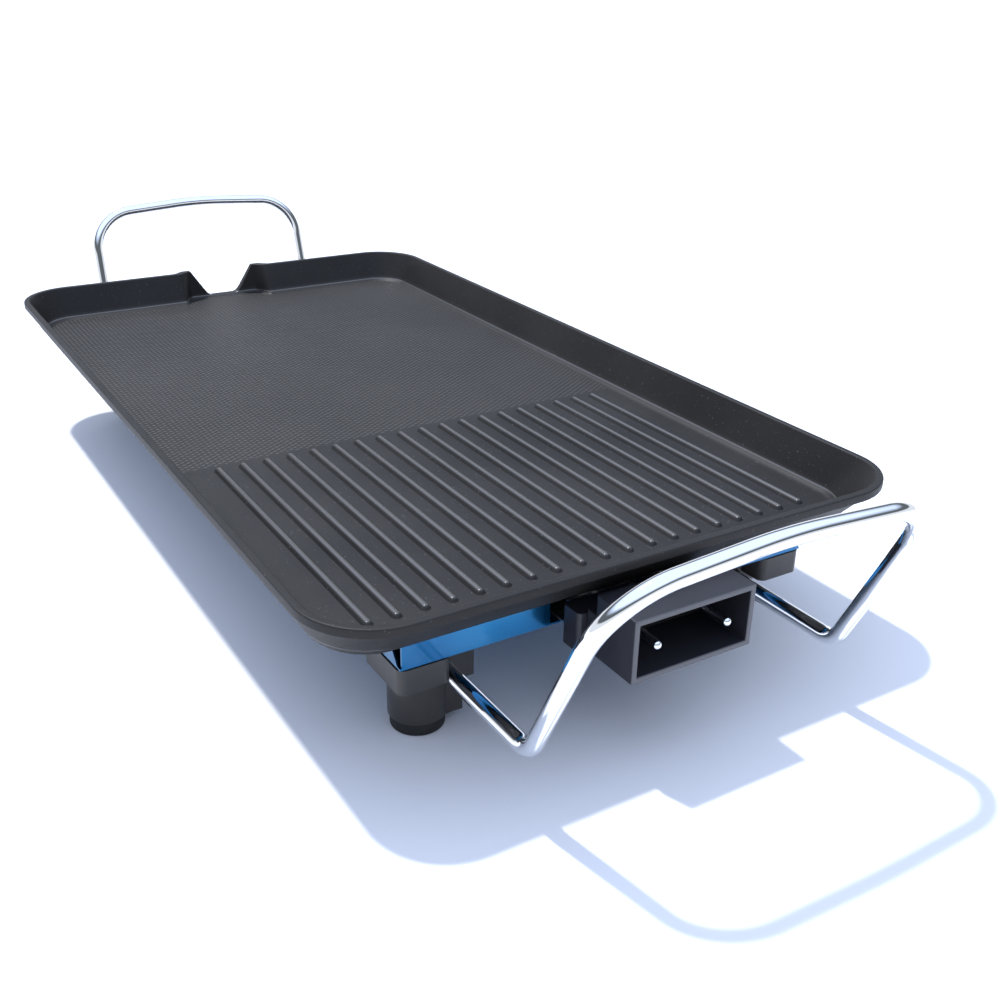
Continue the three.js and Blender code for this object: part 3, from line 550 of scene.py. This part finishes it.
def wallPath(spread):
    # Corner points (inset, height) from the underside over the lip to the cooking floor, rounded.
    s = plateShape
    slant = math.atan2(spread, s["depth"])
    lean = s["wall"] / math.cos(slant)

    def outside(height):
        return s["rim"] + spread * (1 - height / s["depth"]) - lean

    lipFoot = s["depth"] - s["lip"]
    corners = [
        (outside(-s["floor"]) + s["undersideReach"], -s["floor"]),
        (outside(-s["floor"]), -s["floor"]),
        (outside(lipFoot), lipFoot),
        (0, lipFoot),
        (0, s["depth"]),
        (s["rim"], s["depth"]),
        (s["rim"] + spread, 0),
        (s["rim"] + spread + s["floorReach"], 0),
    ]
    radii = [s["heel"], 1 * mm, s["edge"], s["edge"], s["edge"], s["fillet"]]
    return roundedPath(corners, radii, 7)


def divided(path, counts):
    # Each stretch of the path cut into its own number of equal steps.
    parts = [a + (b - a) * np.linspace(0, 1, count, endpoint=False)[:, None]
             for a, b, count in zip(path, path[1:], counts)]
    return np.concatenate(parts + [path[-1:]])


def plateShell():
    # Each ring is the outline moved in by its inset at its height, and shrunk to the middle at both
    # ends. At the inlet end the flatter wall takes over: x = x - (its inset - inset), and the height
    # blends by the square of the outward direction's x. Near the notch the wall is carried out to the
    # spout and cut off: height = min(height, sill + slope (|y| - half the notch's bottom)).
    s = plateShape
    sidePath = wallPath(s["spread"])
    counts = np.maximum(1, (np.linalg.norm(np.diff(sidePath, axis=0), axis=1) / s["step"]).astype(int))
    path = divided(sidePath, counts)
    inletPath = divided(wallPath(s["inletSpread"]), counts)
    isInner = np.arange(len(path)) > np.argmax(path[:, 1] >= s["depth"] - 1e-9)

    xy, outward = plateOutline()
    inset, height = path[:, 0][:, None], path[:, 1][:, None]
    inletInset, inletHeight = inletPath[:, 0][:, None], inletPath[:, 1][:, None]
    towardsInlet = np.clip(xy[:, 0] / (s["length"] / 2 - s["corner"]), 0, 1)
    x = xy[:, 0] - inset * outward[:, 0] - (inletInset - inset) * towardsInlet
    y = xy[:, 1] - inset * outward[:, 1]
    z = height + (inletHeight - height) * np.clip(outward[:, 0], 0, 1) ** 2
    atDrain = x < s["drainReach"] - s["length"] / 2
    away = np.abs(y)
    innerPull = smooth((s["notchTop"] / 2 + s["spoutFlare"] - away) / s["spoutFlare"])
    outerPull = smooth((s["notchTop"] / 2 + s["spoutFlare"] + s["spoutWall"] - away) / s["spoutFlare"])
    foot = 1 - np.clip(z / s["depth"], 0, 1)
    innerShift = innerPull * (s["spout"] + (s["spread"] - s["spoutLean"]) * foot)
    tuckLow, tuckHigh = s["underTuck"]
    outerShift = outerPull * (inset + s["spout"]) * smooth((z - tuckLow) / (tuckHigh - tuckLow))
    shift = np.where(isInner[:, None], innerShift, outerShift)
    x = np.where(atDrain, x - shift, x)
    slope = (s["depth"] - s["sill"]) / (s["notchTop"] - s["notchBottom"]) * 2
    rise = away - s["notchBottom"] / 2
    bend = s["notchCorner"]
    rise = np.where(rise > bend, rise, np.where(rise < -bend, 0, (rise + bend) ** 2 / (4 * bend)))
    limit = s["sill"] + slope * rise
    z = np.where(atDrain, np.minimum(z, np.maximum(limit, s["sill"])), z)

    walled = np.stack([x + plateMiddleX, y, z + floorZ], -1)
    shrink = np.linspace(0.02, 0.94, 9)[:, None, None]
    middle = np.array([plateMiddleX, 0, 0])
    under = middle + (walled[0] - middle) * shrink
    under[..., 2] = walled[0, :, 2]
    over = middle + (walled[-1] - middle) * shrink[::-1]
    over[..., 2] = walled[-1, :, 2]
    return shellOf(np.concatenate([under, walled, over]))


def ribShell(y):
    # Rings round a capsule, each a little further in and higher: height = ribHeight (1 - d^2)^0.8
    # with a soft foot, where d is the distance from the middle line over half the width.
    s = plateShape
    half = s["ribWidth"] / 2
    straight = s["ribLength"] / 2 - half
    middle = plateMiddleX + s["length"] / 2 - s["ribInset"] - s["ribLength"] / 2
    angle = np.linspace(-math.pi / 2, math.pi / 2, 9)
    ends = np.concatenate([angle, angle + math.pi])
    shiftX = np.repeat([straight, -straight], len(angle))
    d = np.array([1.14, 1.05, 0.95, 0.82, 0.66, 0.48, 0.28, 0.06])
    lift = s["ribHeight"] * np.clip(1 - d ** 2, 0, 1) ** 0.8
    lift[:2] = [-0.25 * mm, 0.04 * mm]
    x = middle + shiftX + half * d[:, None] * np.cos(ends)
    z = np.broadcast_to((floorZ + lift)[:, None], x.shape)
    return shellOf(np.stack([x, y + half * d[:, None] * np.sin(ends), z], -1))


bossShape = {
    "legRadius": 5.5 * mm, "clampRadius": 3.4 * mm, "clampDrop": 4 * mm, "boreRatio": 0.55,
    "overlap": 0.6 * mm, "flare": 0.8 * mm, "edge": 0.3 * mm,
}


def bossShell(node, bottom, radius):
    # A turned sleeve round a screw, flared where it meets the plate's underside.
    s = bossShape
    underside = floorZ - plateShape["floor"]
    middle = middleOf(node)
    bore = radius * s["boreRatio"]
    top = underside + s["overlap"]
    root = radius + s["flare"]
    profile = [(bore, top), (bore, bottom), (radius - s["edge"], bottom), (radius, bottom + s["edge"]),
               (radius, underside - s["flare"]), (root, underside + 0.1 * mm), (root, top)]
    return turnedShell(profile, (middle.x, middle.y, 0), closed=True)


def castPlate():
    s = plateShape
    rows = (np.arange(s["ribs"]) - (s["ribs"] - 1) / 2) * s["ribPitch"]
    shells = [plateShell()] + [ribShell(y) for y in rows]
    clampBottom = floorZ - s["floor"] - bossShape["clampDrop"]
    for node in nodes:
        if node.startswith("leg_screw"):
            shells.append(bossShell(node, plateLow.z, bossShape["legRadius"]))
        elif node.startswith("clamp_screw"):
            shells.append(bossShell(node, clampBottom, bossShape["clampRadius"]))
    addPiece("cast_plate", shells, ["grill_plate"], s["sharp"])


castPlate()
print("cast plate made")


handleShape = {
    "rod": 7.2 * mm, "reach": 23.5 * mm, "rise": 88 * mm, "taper": 2 * mm,
    "arch": 4.8 * mm, "archBend": 260 * mm, "lowerBend": 11 * mm, "upperBend": 28 * mm,
    "lean": {"inlet": 25.5, "drain": 15.5},
}


def handleRod(end):
    # The rod's middle line runs out of the leg, up the leaning plane, over the arch and back.
    s = handleShape
    node = f"handle_{end}_end"
    low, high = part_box(node)
    side = 1 if end == "inlet" else -1
    radius = s["rod"] / 2
    lean = math.radians(s["lean"][end])
    start = low.x if side > 0 else high.x
    bendX = plateMiddleX + side * (plateShape["length"] / 2 + s["reach"])
    topX = bendX + side * s["rise"] * math.sin(lean)
    rodY = high.y - radius
    rodZ = low.z + radius
    topY = rodY - s["taper"]
    topZ = rodZ + s["rise"] * math.cos(lean)
    corners = [
        (start, -rodY, rodZ), (bendX, -rodY, rodZ), (topX, -topY, topZ), (topX, 0, topZ + s["arch"]),
        (topX, topY, topZ), (bendX, rodY, rodZ), (start, rodY, rodZ),
    ]
    radii = [s["lowerBend"], s["upperBend"], s["archBend"], s["upperBend"], s["lowerBend"]]
    path = roundedPath(corners, radii, 18)
    reference = (math.cos(lean), 0, -side * math.sin(lean))
    addPiece(f"bent_rod_{end}", [tubeShell(path, radius, reference, 36)], [node])


for end in ("inlet", "drain"):
    handleRod(end)
print("handles bent")


heaterShape = {"tube": 6 * mm, "bend": 22 * mm, "tailBend": 9 * mm, "tailSpread": 22 * mm,
               "turnInset": 52 * mm, "tailInset": 92 * mm, "endInset": 40 * mm, "turnRatio": 0.45}


def heaterTube():
    # The tube's middle line runs from one pin back, out and round the loop; the other half mirrors it.
    s = heaterShape
    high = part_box("heating_element")[1]
    pinY = middleOf("contact_pin_right").y
    z = middleOf("heating_element").z
    inletX = plateMiddleX + plateShape["length"] / 2
    farX = plateMiddleX - plateShape["length"] / 2 + s["endInset"]
    tailX = inletX - s["tailInset"]
    nearX = inletX - s["turnInset"]
    outerY = high.y - s["tube"] / 2
    tailY = pinY + s["tailSpread"]
    half = [(high.x, pinY, z), (tailX, pinY, z), (tailX, tailY, z), (nearX, tailY, z), (nearX, outerY, z),
            (farX, outerY, z)]
    corners = half + [(x, -y, h) for x, y, h in half[::-1]]
    turn = (outerY - tailY) * s["turnRatio"]
    bends = [s["tailBend"], s["tailBend"], turn, turn, s["bend"]]
    path = roundedPath(corners, bends + bends[::-1], 10)
    addPiece("heater_tube", [tubeShell(path, s["tube"] / 2, (0, 0, 1), 20)], ["heating_element"])


heaterTube()
print("heater bent")


# Turned pieces: feet, pins and screws.
footShape = {
    "radius": 11.4 * mm, "height": 5.8 * mm, "seat": 3.2 * mm, "bore": 2.3 * mm, "head": 4.4 * mm,
    "edge": 0.2 * mm, "sole": 0.5 * mm, "shoulder": 1.4 * mm,
}


def footPad(node):
    s = footShape
    middle = middleOf(node)
    profile = roundedPath([
        (s["bore"], s["seat"]), (s["head"], s["seat"]), (s["head"], 0), (s["radius"], 0),
        (s["radius"], s["height"]), (s["bore"], s["height"]), (s["bore"], s["seat"] + 0.01 * mm),
    ], [s["edge"], s["sole"], s["shoulder"], s["sole"], s["edge"]], 5)
    addPiece(node + "_turned", [turnedShell(profile, (middle.x, middle.y, 0), sides=64, closed=True)], [node])


pinShape = {"edge": 0.2 * mm, "endRatio": 0.9}


def contactPin(node):
    # A rod whose tip is half a ball: radius sin a out, radius cos a past the ball's centre.
    low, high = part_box(node)
    middle = middleOf(node)
    radius = (high.y - low.y) / 2
    angle = np.linspace(math.pi / 2, 0.02, 12)
    dome = [(radius * math.sin(a), high.x - radius + radius * math.cos(a)) for a in angle]
    profile = [(radius * pinShape["endRatio"], low.x), (radius, low.x + pinShape["edge"])] + dome
    addPiece(node + "_turned", [turnedShell(profile, (0, middle.y, middle.z), axis="x", sides=36)], [node])


screwShape = {
    "big": (4 * mm, 7.6 * mm, 2.2 * mm), "small": (3 * mm, 5.6 * mm, 1.8 * mm),  # shank, head, head's height
    "domeRatio": 0.38, "pointLength": 0.6 * mm, "pointRatio": 0.3,
}


def headScrew(node, size, axis="z", flip=False):
    # A domed head on a plain shank; the head's height falls as the square of its radius.
    s = screwShape
    shank, head, headHeight = s[size]
    low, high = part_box(node)
    middle = middleOf(node)
    first, last = (low.z, high.z) if axis == "z" else (low.x, high.x)
    radius = np.linspace(0.02, 1, 9) * head / 2
    dome = headHeight * s["domeRatio"] * (radius / (head / 2)) ** 2
    profile = list(zip(radius, dome))
    profile += [(head / 2, headHeight), (shank / 2, headHeight)]
    length = last - first
    profile += [(shank / 2, length - s["pointLength"]), (shank * s["pointRatio"], length)]
    profile = np.array(profile)
    profile[:, 1] = last - profile[:, 1] if flip else first + profile[:, 1]
    centre = (middle.x, middle.y, 0) if axis == "z" else (0, middle.y, middle.z)
    addPiece(node + "_turned", [turnedShell(profile, centre, axis=axis, sides=32)], [node])


for node in sorted(nodes):
    if node.startswith("foot_pad"):
        footPad(node)
    elif node.startswith("contact_pin"):
        contactPin(node)
    elif node.startswith("leg_screw"):
        headScrew(node, "big")
    elif node.startswith(("clamp_screw", "bracket_screw")):
        headScrew(node, "small")
    elif node.startswith("board_screw"):
        headScrew(node, "small", axis="x", flip=True)
print("turned pieces made")

# Mouldings and sheet pieces keep their CAD shape, with rounded edges.
edgeWidths = {
    "leg_bracket": 0.9 * mm, "socket_shroud": 0.7 * mm, "terminal_box": 0.6 * mm, "reflector_tray": 0.22 * mm,
    "socket_bracket": 0.25 * mm, "heater_clamp": 0.2 * mm, "terminal_board": 0.2 * mm,
    "ceramic_bead": 0.3 * mm, "probe_guide": 0.2 * mm, "handle_screw": 0.15 * mm,
}
for node in sorted(nodes):
    for start, width in edgeWidths.items():
        if node.startswith(start):
            softened(node, width)
print("mouldings rounded")


# The room is a bright ceiling over darker walls, which give the bent rods their light and dark bands.
studio = {
    "sunDirection": (0.436, 0.136, -1.0), "sunStrength": 2.7, "sunSoftness": 2.2,
    "floor": (0.88, 0.88, 0.89, 1), "floorReach": 40.0,
    "room": [(0.0, (0.52, 0.54, 0.58, 1)), (0.20, (0.52, 0.54, 0.58, 1)), (0.25, (0.07, 0.08, 0.09, 1)),
             (0.42, (0.08, 0.09, 0.10, 1)), (0.62, (0.63, 0.74, 1.0, 1)), (1.0, (0.63, 0.74, 1.0, 1))],
    "roomStrength": 1.65,
}


def addStudio():
    floorMesh = bpy.data.meshes.new("floor")
    reach = studio["floorReach"]
    square = [(-reach, -reach, 0), (reach, -reach, 0), (reach, reach, 0), (-reach, reach, 0)]
    floorMesh.from_pydata(square, [], [(0, 1, 2, 3)])
    floor = bpy.data.objects.new("floor", floorMesh)
    bpy.context.scene.collection.objects.link(floor)
    paint = {"Base Color": studio["floor"], "Roughness": 0.9, "Specular IOR Level": 0.1}
    plain = Finish("floor_paint", paint)
    floorMesh.materials.append(plain.material)

    sunData = bpy.data.lights.new("sun", "SUN")
    sunData.energy = studio["sunStrength"]
    sunData.angle = math.radians(studio["sunSoftness"])
    sun = bpy.data.objects.new("sun", sunData)
    sun.rotation_mode = "QUATERNION"
    sun.rotation_quaternion = Vector(studio["sunDirection"]).to_track_quat("-Z", "Y")
    bpy.context.scene.collection.objects.link(sun)

    world = bpy.data.worlds.new("studio")
    world.use_nodes = True
    tree = world.node_tree
    background = tree.nodes["Background"]
    place = tree.nodes.new("ShaderNodeTexCoord")
    split = tree.nodes.new("ShaderNodeSeparateXYZ")
    ramp = tree.nodes.new("ShaderNodeValToRGB")
    setStops(ramp.color_ramp, studio["room"])
    tree.links.new(place.outputs["Generated"], split.inputs[0])
    tree.links.new(split.outputs["Z"], ramp.inputs[0])
    tree.links.new(ramp.outputs[0], background.inputs["Color"])
    background.inputs["Strength"].default_value = studio["roomStrength"]
    bpy.context.scene.world = world


addStudio()
bpy.context.scene.view_settings.view_transform = "Standard"
print("studio lit")

bpy.context.view_layer.update()
